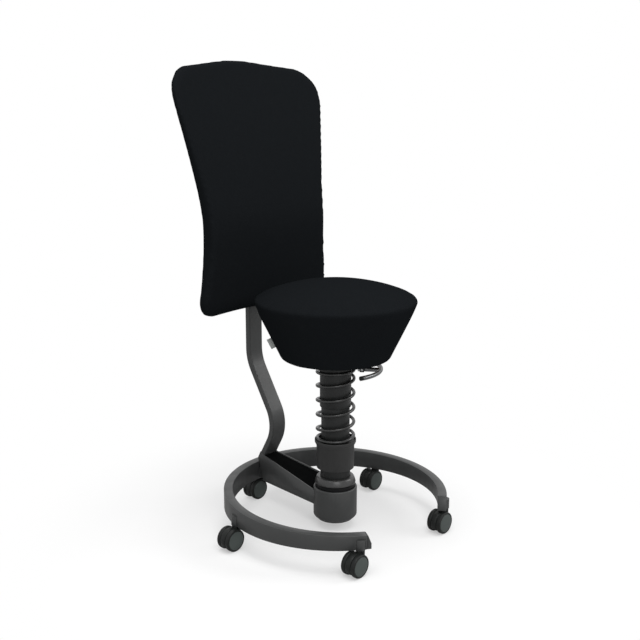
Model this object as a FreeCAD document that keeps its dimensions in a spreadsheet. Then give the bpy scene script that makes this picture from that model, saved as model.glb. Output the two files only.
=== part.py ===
"""Wobble stool with a backrest: open castor ring, tilting sprung column, round seat, bent back post.

Frame: millimetres, +Z up, origin on the floor under the column, the sitter faces -Y.
"""
import FreeCAD, Part
import Sketcher
import math
import os
import re

Vector = FreeCAD.Vector
UP = Vector(0, 0, 1)
ALONG_X = Vector(1, 0, 0)
ALONG_Y = Vector(0, 1, 0)

# Driving dimensions: word, value in millimetres or degrees, meaning
SIZES = (
    # foot ring
    ("ring_radius", 255, "outer radius of the foot ring"),
    ("ring_depth", 20, "ring tube, across"),
    ("ring_front_height", 30, "ring tube, upright, at the front of the circle"),
    ("ring_rear_height", 46, "ring tube, upright, at the rear of the circle"),
    ("ring_floor", 53, "underside of the ring above the floor"),
    ("ring_wall", 2, "wall of the ring tube"),
    ("ring_opening_angle", 33, "half of the angle that is open at the front"),
    ("cap_length", 10, "end cap along the ring, at its foot"),
    ("cap_slope", 8, "how far the cap's top is set back"),
    ("cap_face", 12, "upright part of the cap's end face"),
    ("plug_length", 8, "cap's plug inside the tube"),
    ("plug_room", 0.6, "room round the plug"),
    # castors
    ("castor_inset", 5, "castor stems inside the ring's outer face"),
    ("castor_trail", 17, "wheel axle behind the stem"),
    ("wheel_radius", 25, "castor wheel"),
    ("wheel_width", 10, "one wheel"),
    ("wheel_apart", 15.6, "gap between twin wheels"),
    ("wheel_round", 2.4, "bevel on the tread's edges"),
    ("wheel_cap_radius", 21, "raised cap on the wheel's outer face"),
    ("wheel_cap_rise", 0.9, "height of the raised cap"),
    ("axle_radius", 3, "castor axle"),
    ("axle_end", 3, "wheel wall over the axle's end"),
    ("stem_radius", 5, "castor stem"),
    ("stem_seat", 4.8, "stem's depth in the hood"),
    ("socket_radius", 11, "stem socket on the ring"),
    ("socket_height", 22, "stem socket, upright"),
    ("socket_roof", 3, "wall over the stem"),
    ("socket_gap", 0.6, "gap between hood and socket"),
    ("hood_radius", 9.5, "hood's boss round the stem"),
    ("hood_drop", 17, "hood's boss, upright"),
    ("web_radius", 24.2, "hood's drum between the wheels"),
    ("hood_clear", 10, "hood's drum cut off above the floor"),
    ("web_room", 0.8, "room beside the drum and over the tread"),
    # arm from the ring to the housing
    ("arm_floor", 54, "underside of the arm"),
    ("arm_front_top", 83, "top of the arm at the column"),
    ("arm_front_width", 90, "arm at the column"),
    ("arm_wall", 3.5, "walls of the arm"),
    ("arm_heel", 22, "how far the arm's heel stands in from the ring"),
    ("cover_drop", 2, "cover below the arm's edges"),
    ("cover_thick", 3, "arm cover"),
    ("cover_room", 0.3, "room round the cover"),
    ("root_height", 24, "root block, upright"),
    ("root_length", 26, "root block along the arm"),
    # back post, by its front face
    ("post_width", 42, "post across"),
    ("post_depth", 15, "post front to back"),
    ("post_round", 3, "rounding of the post's edges"),
    ("post_foot_inset", 44, "foot of the post inside the ring's outer face"),
    ("post_foot_z", 120, "foot of the post above the floor"),
    ("post_knee_ahead", 45, "corner of the lower bend ahead of the foot"),
    ("post_knee_z", 200, "corner of the lower bend, height"),
    ("post_step_back", 46, "upright run behind the foot"),
    ("post_shoulder_z", 353, "corner of the upper bend, height"),
    ("post_top", 640, "top of the post inside the back"),
    ("post_bend_radius", 90, "radius of both bends"),
    # housing and tilt joint
    ("housing_radius", 50, "lower housing"),
    ("housing_wall", 5.3, "wall of the housing"),
    ("housing_floor", 19, "underside of the housing"),
    ("housing_top", 96, "top of the housing"),
    ("housing_bevel", 9, "bevel at the housing's foot"),
    ("base_thick", 7, "bottom cap of the housing"),
    ("pivot_height", 98, "centre of the tilt joint"),
    ("dome_radius", 47.5, "dome, a part of a ball about the tilt centre"),
    ("dome_wall", 2.1, "wall of the dome"),
    ("dome_foot", 106, "lower edge of the dome"),
    ("dome_top", 121, "top of the dome"),
    ("dome_round", 6, "rounding of the dome's shoulder"),
    ("cup_wall", 4.2, "bearing cup inside the housing"),
    ("cup_foot", 60, "lower end of the bearing cup"),
    ("cup_rise", 6, "bearing cup above the tilt centre"),
    ("gimbal_wall", 5, "gimbal ring"),
    ("gimbal_height", 12, "gimbal ring, upright"),
    ("gimbal_room", 0.8, "room round the gimbal ring"),
    ("gimbal_pin", 4, "radius of the gimbal pins"),
    ("pin_grip", 8, "gimbal pins inside the spindle's hub"),
    ("hub_radius", 30, "spindle's hub inside the gimbal"),
    ("spindle_radius", 12, "spindle below the tilt centre"),
    ("spindle_foot", 40, "lower end of the spindle"),
    ("buffer_bore", 26, "bore of the rubber tilt buffer"),
    ("buffer_height", 24, "rubber tilt buffer, upright"),
    # column
    ("neck_radius", 34, "neck over the dome"),
    ("neck_foot", 112, "lower end of the neck"),
    ("neck_top", 141, "top of the neck"),
    ("guide_radius", 32.3, "lower guide tube"),
    ("guide_wall", 6.3, "wall of the guide tube"),
    ("guide_top", 320, "top of the guide tube"),
    ("guide_plug", 9, "neck's plug inside the guide tube"),
    ("collar_radius", 43, "spring collar"),
    ("collar_shoulder", 53, "collar's height up to its lip"),
    ("collar_height", 60.5, "collar's height up to the spring's seat"),
    ("lip_radius", 47, "collar's lip round the spring"),
    ("lip_wall", 1.4, "wall of the lip"),
    ("lip_height", 7, "lip above the spring's seat"),
    ("seat_ring_thick", 2, "washer under the spring"),
    ("spring_length", 173, "spring, overall"),
    ("spring_radius", 41.5, "spring, to the middle of the wire"),
    ("wire_radius", 3.7, "spring wire"),
    ("spring_turns", 6, "turns of the spring, in steps of a quarter"),
    ("spring_start_angle", 30, "bearing of the wire's lower end, from the sitter's left to the rear"),
    ("end_pitch", 9, "rise per turn of the spring's closed ends"),
    ("sleeve_wall", 3, "upper sleeve"),
    ("sleeve_length", 91, "upper sleeve below the spring plate"),
    ("plate_radius", 46, "spring plate"),
    ("plate_thick", 6, "spring plate"),
    ("collar_gap", 0.4, "axial gap under turning pieces"),
    # gas spring
    ("casing_radius", 25, "gas spring casing"),
    ("casing_wall", 2, "wall of the casing"),
    ("casing_length", 175, "casing below the top of the spring plate"),
    ("casing_floor", 4, "floor of the casing"),
    ("bush_length", 50, "guide bush in the casing"),
    ("bush_head", 3, "guide bush above the spring plate"),
    ("gas_radius", 14, "gas cylinder"),
    ("gas_length", 180, "gas cylinder"),
    ("gas_lift_off", 10, "gas cylinder above the casing's floor"),
    ("rod_radius", 5, "piston rod"),
    ("rod_length", 155, "piston rod"),
    ("rod_head_room", 6, "bore beyond the piston rod"),
    ("release_radius", 4, "release pin"),
    ("release_length", 17.5, "release pin"),
    ("release_proud", 8.5, "release pin above the gas cylinder"),
    ("release_room", 9, "bore below the release pin"),
    ("release_hole", 6, "radius of the hole in the hub's roof over the release pin"),
    # seat
    ("dish_radius", 70, "mechanism dish"),
    ("dish_flange", 92, "flange of the dish"),
    ("dish_thick", 3, "sheet of the dish"),
    ("dish_height", 11.5, "dish, upright"),
    ("dish_gap", 1.5, "dish above the guide bush"),
    ("hub_wall", 5, "bearing hub of the dish"),
    ("hub_roof", 3.2, "roof of the hub over the gas cylinder"),
    ("pan_radius", 108, "seat pan"),
    ("pan_bevel", 6, "bevel under the pan's edge"),
    ("pan_thick", 24, "seat pan"),
    ("recess_height", 18, "recess of the pan over the mechanism"),
    ("seat_foot_radius", 122, "cushion at its foot"),
    ("seat_rim_radius", 186.5, "cushion at its rim, before rounding"),
    ("seat_rim_rise", 133, "rim above the cushion's foot"),
    ("seat_crown", 40.5, "crown above the rim"),
    ("seat_rim_round", 8, "rounding of the rim"),
    ("seat_foot_round", 9, "rounding of the cushion's foot"),
    ("soft_room", 0.3, "room between cushions and hard pieces"),
    ("screw_circle", 81, "circle of seat screws"),
    ("screw_radius", 3, "shank of a screw"),
    ("screw_length", 12, "screw below its head"),
    ("screw_head", 6, "radius of a screw head"),
    ("screw_head_thick", 3, "screw head"),
    # lever
    ("lever_angle", 34, "lever pivot's bearing, from straight ahead to the sitter's left"),
    ("lever_pivot", 60, "lever pivot from the column"),
    ("lever_drop", 14, "lever's middle below the dish"),
    ("lever_radius", 5, "lever rod"),
    ("lever_bow_radius", 101, "lever's bow, about the column"),
    ("lever_bow_half", 47, "lever's bow to either side of its stem, degrees"),
    ("lever_tip_length", 6, "cap on the tip"),
    ("ear_thick", 3, "ears of the lever bracket"),
    ("ear_width", 10, "ears of the lever bracket along the lever"),
    ("ear_room", 0.5, "room beside the lever"),
    ("lever_pin", 2.5, "radius of the lever pin"),
    ("crank_thick", 5, "lever crank"),
    ("crank_depth", 5, "lever crank, its depth"),
    ("crank_gap", 0.5, "crank above the release pin"),
    ("slot_room", 5, "room for the crank in the dish"),
    # back
    ("back_bottom", 481, "lower edge of the back"),
    ("back_top", 1026, "upper edge of the back, at its corners"),
    ("back_top_rise", 25, "crown of the upper edge"),
    ("back_foot_half", 200, "half width at the lower edge"),
    ("back_waist_half", 173, "half width, corner at the waist"),
    ("back_head_half", 240.5, "half width at the upper edge"),
    ("back_waist", 687, "height of the waist"),
    ("back_foot_round", 39, "lower corners"),
    ("back_waist_round", 556, "curve of the waist"),
    ("back_head_round", 68, "upper corners"),
    ("lumbar_ahead", 39, "front of the back, at the waist, ahead of the post"),
    ("lumbar_thick", 59, "back, front to rear, at the waist"),
    ("back_head_thick", 22, "back, front to rear, at the top"),
    ("back_head_lean", 87, "top of the back behind the waist"),
    ("back_foot_lean", 23, "lower edge of the back behind the waist"),
    ("back_wrap", 42, "edges of the back ahead of its middle"),
    ("back_overrun", 2, "layers of the back past its outline, before trimming"),
    ("back_edge", 11, "thickness at the edges"),
    ("shell_thick", 4.5, "back shell"),
    ("shell_inset", 3, "shell's edge inside the pad's edge"),
    ("back_screw_low", 530, "lower pair of back screws"),
    ("back_screw_high", 600, "upper pair of back screws"),
    ("back_screw_half", 10, "half distance of the back screws"),
    # fits
    ("run_room", 0.05, "radial room of a running fit"),
)

CASTOR_NAMES = ("front_left", "side_left", "rear", "side_right", "front_right")
LEAN_POWER = 1.2
BACK_STATIONS = 16
SPRING_SAMPLES = 6
TOUCH = 0.01
HALF_TURN = 180
DRAFT_MIDDLE = 40
DRAFT_RADIUS = 10

doc = FreeCAD.newDocument("WobbleStool")
sheet = doc.addObject("Spreadsheet::Sheet", "Sizes")
for row, (word, value, meaning) in enumerate(SIZES, start=1):
    sheet.set("A%d" % row, meaning)
    sheet.set("B%d" % row, str(value))
    sheet.setAlias("B%d" % row, word)
doc.recompute()

ALIAS = re.compile(r"\b(%s)\b" % "|".join(word for word, value, meaning in SIZES))
nodes = []


def size(word):
    """Value of one driving dimension."""
    return float(sheet.get(word))


def bind(thing, prop, formula):
    """Tie a property to a formula in the sheet's words."""
    thing.setExpression(prop, ALIAS.sub(r"Sizes.\1", formula))


def node(label, thing):
    """Name a finished sub-part."""
    thing.Label = label
    nodes.append(thing)
    return thing


def place(thing, base, axis=UP, spin=0.0):
    """Stand a piece at a point, its own Z along an axis, turned about that axis first."""
    turn = FreeCAD.Rotation(UP, axis).multiply(FreeCAD.Rotation(UP, spin))
    thing.Placement = FreeCAD.Placement(base, turn)
    return thing


def sketch_on(body, role, outlines):
    """Closed outlines on one of the body's planes; every corner is a pair of formulas."""
    plane = next(item for item in body.Origin.OriginFeatures if item.Role == role)
    sketch = body.newObject("Sketcher::SketchObject", body.Name + "_sketch")
    sketch.AttachmentSupport = [(plane, "")]
    sketch.MapMode = "FlatFace"
    for outline in outlines:
        first = sketch.GeometryCount
        count = len(outline)
        middle = Vector(DRAFT_MIDDLE, DRAFT_MIDDLE, 0)
        start = [middle + Vector(math.cos(k), math.sin(k), 0) * DRAFT_RADIUS for k in range(count)]
        for k in range(count):
            sketch.addGeometry(Part.LineSegment(start[k], start[(k + 1) % count]))
        for k in range(count):
            following = first + (k + 1) % count
            sketch.addConstraint(Sketcher.Constraint("Coincident", first + k, 2, following, 1))
        for k, corner in enumerate(outline):
            for kind, formula, now in zip(("DistanceX", "DistanceY"), corner, start[k]):
                index = sketch.addConstraint(Sketcher.Constraint(kind, -1, 1, first + k, 1, now))
                bind(sketch, "Constraints[%d]" % index, formula)
    return sketch


def lathe(name, *outlines, angle="360", role="XZ_Plane"):
    """Body turned about Z from outlines of (radius, height) formulas, even about its plane."""
    body = doc.addObject("PartDesign::Body", name)
    sketch = sketch_on(body, role, outlines)
    turn = body.newObject("PartDesign::Revolution", name + "_turn")
    turn.Profile = sketch
    turn.ReferenceAxis = (sketch, ["V_Axis"])
    turn.Midplane = True
    bind(turn, "Angle", angle)
    return body


def tube(name, outer, inner, foot, top):
    """Plain round tube."""
    return lathe(name, [(inner, foot), (outer, foot), (outer, top), (inner, top)])


def prism(name, role, outline, length):
    """Body padded evenly to both sides of one of its planes."""
    body = doc.addObject("PartDesign::Body", name)
    sketch = sketch_on(body, role, [outline])
    pad = body.newObject("PartDesign::Pad", name + "_pad")
    pad.Profile = sketch
    pad.SideType = "Symmetric"
    bind(pad, "Length", length)
    return body


def rod(name, radius, length, base=Vector(), axis=UP):
    """Round bar from a point along an axis."""
    bar = doc.addObject("Part::Cylinder", name)
    bind(bar, "Radius", radius)
    bind(bar, "Height", length)
    return place(bar, base, axis)


def ball(name, radius, height):
    """Whole ball on the column axis."""
    sphere = doc.addObject("Part::Sphere", name)
    bind(sphere, "Radius", radius)
    bind(sphere, "Placement.Base.z", height)
    return sphere


def together(name, pieces):
    """Separate solids kept as one sub-part."""
    group = doc.addObject("Part::Compound", name)
    group.Links = pieces
    return group


def join(name, pieces):
    """One solid made of several."""
    fuse = doc.addObject("Part::MultiFuse", name)
    fuse.Shapes = pieces
    return fuse


def cut(name, base, *tools):
    """A piece without the tools' space."""
    removed = doc.addObject("Part::Cut", name)
    removed.Base = base
    removed.Tool = tools[0] if len(tools) == 1 else join(name + "_tools", list(tools))
    return removed


def overlap(name, first, second):
    """The space that two pieces share."""
    common = doc.addObject("Part::Common", name)
    common.Base = first
    common.Tool = second
    return common


def solid(name, shape):
    """A piece whose form only free-form geometry gives."""
    feature = doc.addObject("Part::Feature", name)
    feature.Shape = shape
    return feature


def rounded(name, base, radius, wanted):
    """Round the edges of a piece that a test picks out."""
    doc.recompute()
    fillet = doc.addObject("Part::Fillet", name)
    fillet.Base = base
    edges = enumerate(base.Shape.Edges, start=1)
    fillet.Edges = [(number, radius, radius) for number, edge in edges if wanted(edge)]
    return fillet


def tangent_path(corners, radii, closed=False):
    """Edges of straight runs joined by tangent arcs at the corners."""
    count = len(corners)
    inner = range(count) if closed else range(1, count - 1)
    edges = []
    ends = {}
    for k in inner:
        back = (corners[k - 1] - corners[k]).normalize()
        ahead = (corners[(k + 1) % count] - corners[k]).normalize()
        half = back.getAngle(ahead) / 2.0
        reach = radii[k] / math.tan(half)
        crest = radii[k] / math.sin(half) - radii[k]
        middle = corners[k] + (back + ahead).normalize() * crest
        ends[k] = (corners[k] + back * reach, corners[k] + ahead * reach)
        edges.append((k, Part.Arc(ends[k][0], middle, ends[k][1]).toShape()))
    path = []
    arcs = dict(edges)
    for k in range(count if closed else count - 1):
        following = (k + 1) % count
        start = ends[k][1] if k in ends else corners[k]
        stop = ends[following][0] if following in ends else corners[following]
        if k in arcs and (closed or k > 0):
            path.append(arcs[k])
        path.append(Part.LineSegment(start, stop).toShape())
    return path


def swept(path, section):
    """Solid of a closed section carried along a path."""
    return Part.Wire(path).makePipeShell([section], True, False)


def castor_point(index, height=0.0):
    """Stem of one castor; the first stands half a step to the left of straight ahead."""
    step = 2 * math.pi / len(CASTOR_NAMES)
    angle = step * (index + 0.5)
    reach = size("ring_radius") - size("castor_inset")
    return Vector(reach * math.sin(angle), -reach * math.cos(angle), height)


# Formulas that several pieces share
ring_inner = "ring_radius - ring_depth"
post_foot_y = "ring_radius - post_foot_inset"
post_knee_y = post_foot_y + " - post_knee_ahead"
post_face_y = post_foot_y + " + post_step_back"
lumbar_face = post_face_y + " - lumbar_ahead"
hood_top = "ring_floor - socket_gap"
stem_foot = hood_top + " - stem_seat"
stem_top = "ring_floor + socket_height - socket_roof"
housing_bore = "housing_radius - housing_wall"
cup_bore = housing_bore + " - cup_wall"
gimbal_outer = cup_bore + " - gimbal_room"
gimbal_bore = gimbal_outer + " - gimbal_wall"
collar_foot = "neck_top + collar_gap"
spring_floor = collar_foot + " + collar_height + collar_gap + seat_ring_thick"
plate_foot = spring_floor + " + spring_length"
plate_top = plate_foot + " + plate_thick"
casing_foot = plate_top + " - casing_length"
casing_bore = "casing_radius - casing_wall"
bush_top = plate_top + " + bush_head"
gas_foot = casing_foot + " + casing_floor + gas_lift_off"
gas_top = gas_foot + " + gas_length"
dish_foot = bush_top + " + dish_gap"
dish_top = dish_foot + " + dish_height"
hub_top = gas_top + " + collar_gap + hub_roof"
release_top = gas_top + " + release_proud"
crank_foot = release_top + " + crank_gap"
seat_foot = dish_top
pan_top = seat_foot + " + pan_thick"


def measure(formula):
    """Value of a formula that adds and subtracts the sheet's words and plain numbers."""
    total = 0.0
    sign = 1.0
    for token in formula.split():
        if token in "+-":
            sign = 1.0 if token == "+" else -1.0
        else:
            total += sign * (size(token) if ALIAS.fullmatch(token) else float(token))
    return total


def ring_wedge(name, lowered):
    """Space under the ring's sloping top, or under a face that lies lower by a formula."""
    ahead = "ring_floor + 1.5 * ring_front_height - 0.5 * ring_rear_height - " + lowered
    behind = "ring_floor + 1.5 * ring_rear_height - 0.5 * ring_front_height - " + lowered
    outline = [("-2 * ring_radius", "0"), ("2 * ring_radius", "0"),
               ("2 * ring_radius", behind), ("-2 * ring_radius", ahead)]
    return prism(name, "YZ_Plane", outline, "4 * ring_radius")


def ring_blank(name, inset, lowered, angle):
    """Part of a ring inside the tube's outer faces by an inset, under a sloping top."""
    foot = "ring_floor + " + inset
    high = "ring_floor + 2 * ring_rear_height"
    inner = "%s + %s" % (ring_inner, inset)
    outer = "ring_radius - " + inset
    turned = lathe(name + "_turned", [(inner, foot), (outer, foot), (outer, high), (inner, high)],
                   angle=angle, role="YZ_Plane")
    return overlap(name, turned, ring_wedge(name + "_wedge", lowered))


def base_ring():
    """Open ring of rectangular tube, higher to the rear, with seats for the sockets, and two end caps."""
    bent = ring_blank("ring_outside", "0", "0", "360 - 2 * ring_opening_angle")
    hollow = ring_blank("ring_hollow", "ring_wall", "ring_wall", "360")
    seats = [rod("socket_seat_%d" % k, "socket_radius", "socket_height",
                 castor_point(k, size("ring_floor"))) for k in range(len(CASTOR_NAMES))]
    node("base_ring", cut("base_ring", cut("ring_tube", bent, hollow), *seats))
    node("ring_end_caps", together("ring_end_caps", [end_cap("left", 1), end_cap("right", -1)]))


def end_cap(side, hand):
    """Slanted cap on one end of the ring; hand is +1 on the sitter's left."""
    tall = "((ring_rear_height + ring_front_height) / 2 - (ring_rear_height - ring_front_height) / 2" \
           " * cos(ring_opening_angle) * (1 - ring_depth / (2 * ring_radius)))"
    face = [("0", "0"), ("cap_length", "0"), ("cap_length", "cap_face"),
            ("cap_length - cap_slope", tall), ("0", tall)]
    low = "socket_height + plug_room"
    high = tall + " - ring_wall - plug_room"
    plug = [("-plug_length", low), ("0", low), ("0", high), ("-plug_length", high)]
    head = prism("cap_head_" + side, "XZ_Plane", face, "ring_depth")
    tongue = prism("cap_plug_" + side, "XZ_Plane", plug, "ring_depth - 2 * ring_wall - plug_room")
    cap = join("end_cap_" + side, [head, tongue])
    opening = size("ring_opening_angle")
    angle = math.radians(opening)
    reach = size("ring_radius") - size("ring_depth") / 2
    base = Vector(hand * reach * math.sin(angle), -reach * math.cos(angle), size("ring_floor"))
    spin = HALF_TURN + opening if hand > 0 else -opening
    return place(cap, base, UP, spin)


def castor_sockets():
    """Blind tubes on the ring that hold the castor stems."""
    sockets = []
    bore = "stem_radius + run_room"
    for index in range(len(CASTOR_NAMES)):
        outline = [(bore, "0"), ("socket_radius", "0"), ("socket_radius", "socket_height"),
                   ("0", "socket_height"), ("0", "socket_height - socket_roof"),
                   (bore, "socket_height - socket_roof")]
        socket = lathe("socket_%d" % index, outline)
        sockets.append(place(socket, castor_point(index, size("ring_floor"))))
    node("castor_sockets", together("castor_sockets", sockets))


def castor(index, name):
    """Hood, steel pins and twin wheels of one castor, trailing to the sitter's right."""
    stem = castor_point(index)
    axle = stem + Vector(-size("castor_trail"), 0, size("wheel_radius"))
    wheel_offset = size("wheel_apart") / 2
    boss = rod("boss_" + name, "hood_radius", "hood_drop",
               stem + UP * (measure(hood_top) - size("hood_drop")))
    web_half = (size("wheel_apart") - 2 * size("web_room")) / 2
    web = rod("web_" + name, "web_radius", "wheel_apart - 2 * web_room",
              axle - ALONG_Y * web_half, ALONG_Y)
    below = rod("below_hood_" + name, "2 * wheel_radius", "hood_clear", Vector(axle.x, axle.y, 0))
    room_near = rod("room_near_" + name, "wheel_radius + web_room", "wheel_width + 2 * wheel_cap_rise",
                    axle - ALONG_Y * web_half, ALONG_Y * -1)
    room_far = rod("room_far_" + name, "wheel_radius + web_room", "wheel_width + 2 * wheel_cap_rise",
                   axle + ALONG_Y * web_half, ALONG_Y)
    stem_hole = rod("stem_hole_" + name, "stem_radius", "stem_seat",
                    stem + UP * measure(stem_foot))
    axle_hole = rod("axle_hole_" + name, "axle_radius", "wheel_apart",
                    axle - ALONG_Y * wheel_offset, ALONG_Y)
    trimmed = cut("boss_trimmed_" + name, boss, room_near, room_far)
    hood = join("hood_blank_" + name, [trimmed, web])
    node("castor_hood_" + name, cut("castor_hood_" + name, hood, stem_hole, axle_hole, below))
    pin = rod("stem_" + name, "stem_radius",
              stem_top + " - ring_floor + socket_gap + stem_seat - collar_gap",
              stem + UP * measure(stem_foot))
    axle_half = wheel_offset + size("wheel_width") - size("axle_end") - size("collar_gap")
    shaft = rod("axle_" + name, "axle_radius",
                "wheel_apart + 2 * wheel_width - 2 * axle_end - 2 * collar_gap",
                axle - ALONG_Y * axle_half, ALONG_Y)
    node("castor_pins_" + name, together("castor_pins_" + name, [pin, shaft]))
    bore = "axle_radius + run_room"
    outline = [(bore, "0"), ("wheel_radius - wheel_round", "0"), ("wheel_radius", "wheel_round"),
               ("wheel_radius", "wheel_width - wheel_round"), ("wheel_radius - wheel_round", "wheel_width"),
               ("wheel_cap_radius", "wheel_width"),
               ("wheel_cap_radius - wheel_cap_rise", "wheel_width + wheel_cap_rise"),
               ("0", "wheel_width + wheel_cap_rise"), ("0", "wheel_width - axle_end"),
               (bore, "wheel_width - axle_end")]
    for side, way in (("near", -1), ("far", 1)):
        label = "castor_wheel_%s_%s" % (name, side)
        wheel = lathe(label, outline)
        node(label, place(wheel, axle + ALONG_Y * (way * wheel_offset), ALONG_Y * way))


def base_arm():
    """Open channel from the ring to the housing, its cover and the root block on the ring."""
    run = "sqrt(post_knee_ahead^2 + (post_knee_z - post_foot_z)^2)"
    rise = "(post_knee_z - post_foot_z) / " + run
    lean = "post_knee_ahead / " + run
    foot_back = (post_foot_y + " + post_depth * " + rise, "post_foot_z + post_depth * " + lean)
    ring_face = ring_inner + " - collar_gap"
    heel_room = "post_foot_inset - ring_depth - collar_gap - post_depth * " + rise
    heel_top = "post_foot_z + post_depth * %s - (%s) * %s / (%s)" % (lean, heel_room, rise, lean)
    side = [("0", "arm_floor"), (ring_face + " - arm_heel", "arm_floor"), (ring_face, heel_top),
            foot_back, (post_foot_y, "post_foot_z"), ("0", "arm_front_top")]
    half_rear = "post_width / 2"
    half_front = "arm_front_width / 2"
    plan = [("-" + half_front, "0"), (half_front, "0"),
            (half_rear, ring_face), ("-" + half_rear, ring_face)]
    tall = "4 * post_knee_z"
    wide = "2 * arm_front_width"
    blank = overlap("arm_blank", prism("arm_side", "YZ_Plane", side, wide),
                    prism("arm_plan", "XY_Plane", plan, tall))
    channel = channel_room("channel", "arm_wall", "arm_floor + arm_wall", half_front, half_rear, ring_face)
    column = rod("arm_column", "housing_radius", "post_knee_z")
    node("base_arm", cut("base_arm", blank, channel, column))
    ridge = [("0", "arm_front_top - cover_drop"), (post_foot_y, "post_foot_z - cover_drop"),
             (foot_back[0], foot_back[1] + " - cover_drop")]
    upper = ridge + [(along, height + " - cover_thick") for along, height in reversed(ridge)]
    sheet_room = channel_room("cover_plan", "arm_wall + cover_room", "arm_floor + arm_wall",
                              half_front, half_rear, ring_face)
    plate = overlap("cover_blank", prism("cover_side", "YZ_Plane", upper, wide), sheet_room)
    node("arm_cover", cut("arm_cover", plate, rod("cover_column", "housing_radius", "post_knee_z")))
    block = [("ring_radius - root_length - ring_depth", "arm_floor + arm_wall"),
             ("ring_radius - ring_depth / 2", "arm_floor + arm_wall"),
             ("ring_radius - ring_depth / 2", "arm_floor + arm_wall + root_height"),
             ("ring_radius - root_length - ring_depth", "arm_floor + arm_wall + root_height")]
    tie = prism("root_blank", "YZ_Plane", block, "post_width - 2 * arm_wall")
    inside = rod("root_inside", ring_inner, "post_knee_z")
    node("arm_root_block", overlap("arm_root_block", tie, inside))


def channel_room(name, wall, floor, half_front, half_rear, ring_face):
    """Space between the arm's walls, open above and behind."""
    plan = [("%s - %s" % (wall, half_front), "0"), ("%s - (%s)" % (half_front, wall), "0"),
            ("%s - (%s)" % (half_rear, wall), ring_face), ("%s - %s" % (wall, half_rear), ring_face)]
    room = [("0", floor), ("ring_radius", floor),
            ("ring_radius", "2 * post_knee_z"), ("0", "2 * post_knee_z")]
    return overlap(name, prism(name + "_plan", "XY_Plane", plan, "4 * post_knee_z"),
                   prism(name + "_side", "YZ_Plane", room, "2 * arm_front_width"))


def housing():
    """Round housing under the column with its bottom cap, bearing cup and rubber buffer."""
    bevel = "housing_radius - housing_bevel"
    shoulder = "housing_floor + housing_bevel"
    node("lower_housing", lathe("lower_housing", [
        (bevel, "housing_floor"), ("housing_radius", shoulder), ("housing_radius", "housing_top"),
        (housing_bore, "housing_top"), (housing_bore, shoulder), (bevel, shoulder)]))
    node("housing_base_cap", lathe("housing_base_cap", [
        ("0", "housing_floor"), (bevel, "housing_floor"), (bevel, "housing_floor + base_thick"),
        ("0", "housing_floor + base_thick")]))
    cup_top = "pivot_height + cup_rise"
    sleeve = tube("cup_sleeve", housing_bore, cup_bore, "cup_foot", cup_top)
    bore = rod("cup_pin_bore", "gimbal_pin + run_room", "2 * housing_radius",
               Vector(-size("housing_radius"), 0, size("pivot_height")), ALONG_X)
    node("bearing_cup", cut("bearing_cup", sleeve, bore))
    node("tilt_buffer", tube("tilt_buffer", housing_bore, "buffer_bore", shoulder,
                             shoulder + " + buffer_height"))


def tilt_joint():
    """Gimbal ring with four pins, and the spindle and dome that tilt in it."""
    half = "gimbal_height / 2"
    pivot = Vector(0, 0, size("pivot_height"))
    ring = tube("gimbal_blank", gimbal_outer, gimbal_bore,
                "pivot_height - " + half, "pivot_height + " + half)
    holes = [rod("gimbal_hole_" + way, "gimbal_pin", "2 * housing_radius",
                 pivot - axis * size("housing_radius"), axis)
             for way, axis in (("x", ALONG_X), ("y", ALONG_Y))]
    node("gimbal_ring", cut("gimbal_ring", ring, *holes))
    pins = []
    for name, axis in (("left", ALONG_X), ("right", ALONG_X * -1)):
        pins.append(rod("gimbal_pin_" + name, "gimbal_pin",
                        "gimbal_wall + gimbal_room + cup_wall - collar_gap",
                        pivot + axis * measure(gimbal_bore), axis))
    for name, axis in (("rear", ALONG_Y), ("front", ALONG_Y * -1)):
        pins.append(rod("gimbal_pin_" + name, "gimbal_pin", gimbal_outer + " - hub_radius + pin_grip",
                        pivot + axis * (size("hub_radius") - size("pin_grip")), axis))
    node("gimbal_pins", together("gimbal_pins", pins))
    hub = "hub_radius"
    blank = lathe("spindle_blank", [
        ("0", "spindle_foot"), ("spindle_radius", "spindle_foot"),
        ("spindle_radius", "pivot_height - " + half), (hub, "pivot_height - " + half), (hub, "neck_foot"),
        ("neck_radius", "neck_foot"), ("neck_radius", "neck_top"),
        ("guide_radius - guide_wall", "neck_top"), ("guide_radius - guide_wall", "neck_top + guide_plug"),
        ("0", "neck_top + guide_plug")])
    cross = rod("spindle_bore", "gimbal_pin + run_room", "2 * hub_radius",
                pivot - ALONG_Y * size("hub_radius"), ALONG_Y)
    node("column_spindle", cut("column_spindle", blank, cross))


def dome():
    """Cap over the tilt joint: a slice of a ball shell with a rounded shoulder."""
    outside = overlap("dome_outside", ball("dome_ball", "dome_radius", "pivot_height"),
                      tube("dome_band", "2 * dome_radius", "neck_radius", "dome_foot", "dome_top"))
    inside = overlap("dome_inside", ball("dome_hollow_ball", "dome_radius - dome_wall", "pivot_height"),
                     rod("dome_hollow_band", "2 * dome_radius", "dome_top - dome_wall"))
    shoulder = size("dome_top")
    neck = size("neck_radius")

    def outer_edge(edge):
        """The circle where the ball meets the flat top."""
        on_top = abs(edge.BoundBox.ZMin - shoulder) < TOUCH and edge.BoundBox.ZLength < TOUCH
        return on_top and edge.BoundBox.XMax > neck + TOUCH

    softened = rounded("dome_softened", outside, size("dome_round"), outer_edge)
    node("tilt_dome", cut("tilt_dome", softened, inside))


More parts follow.
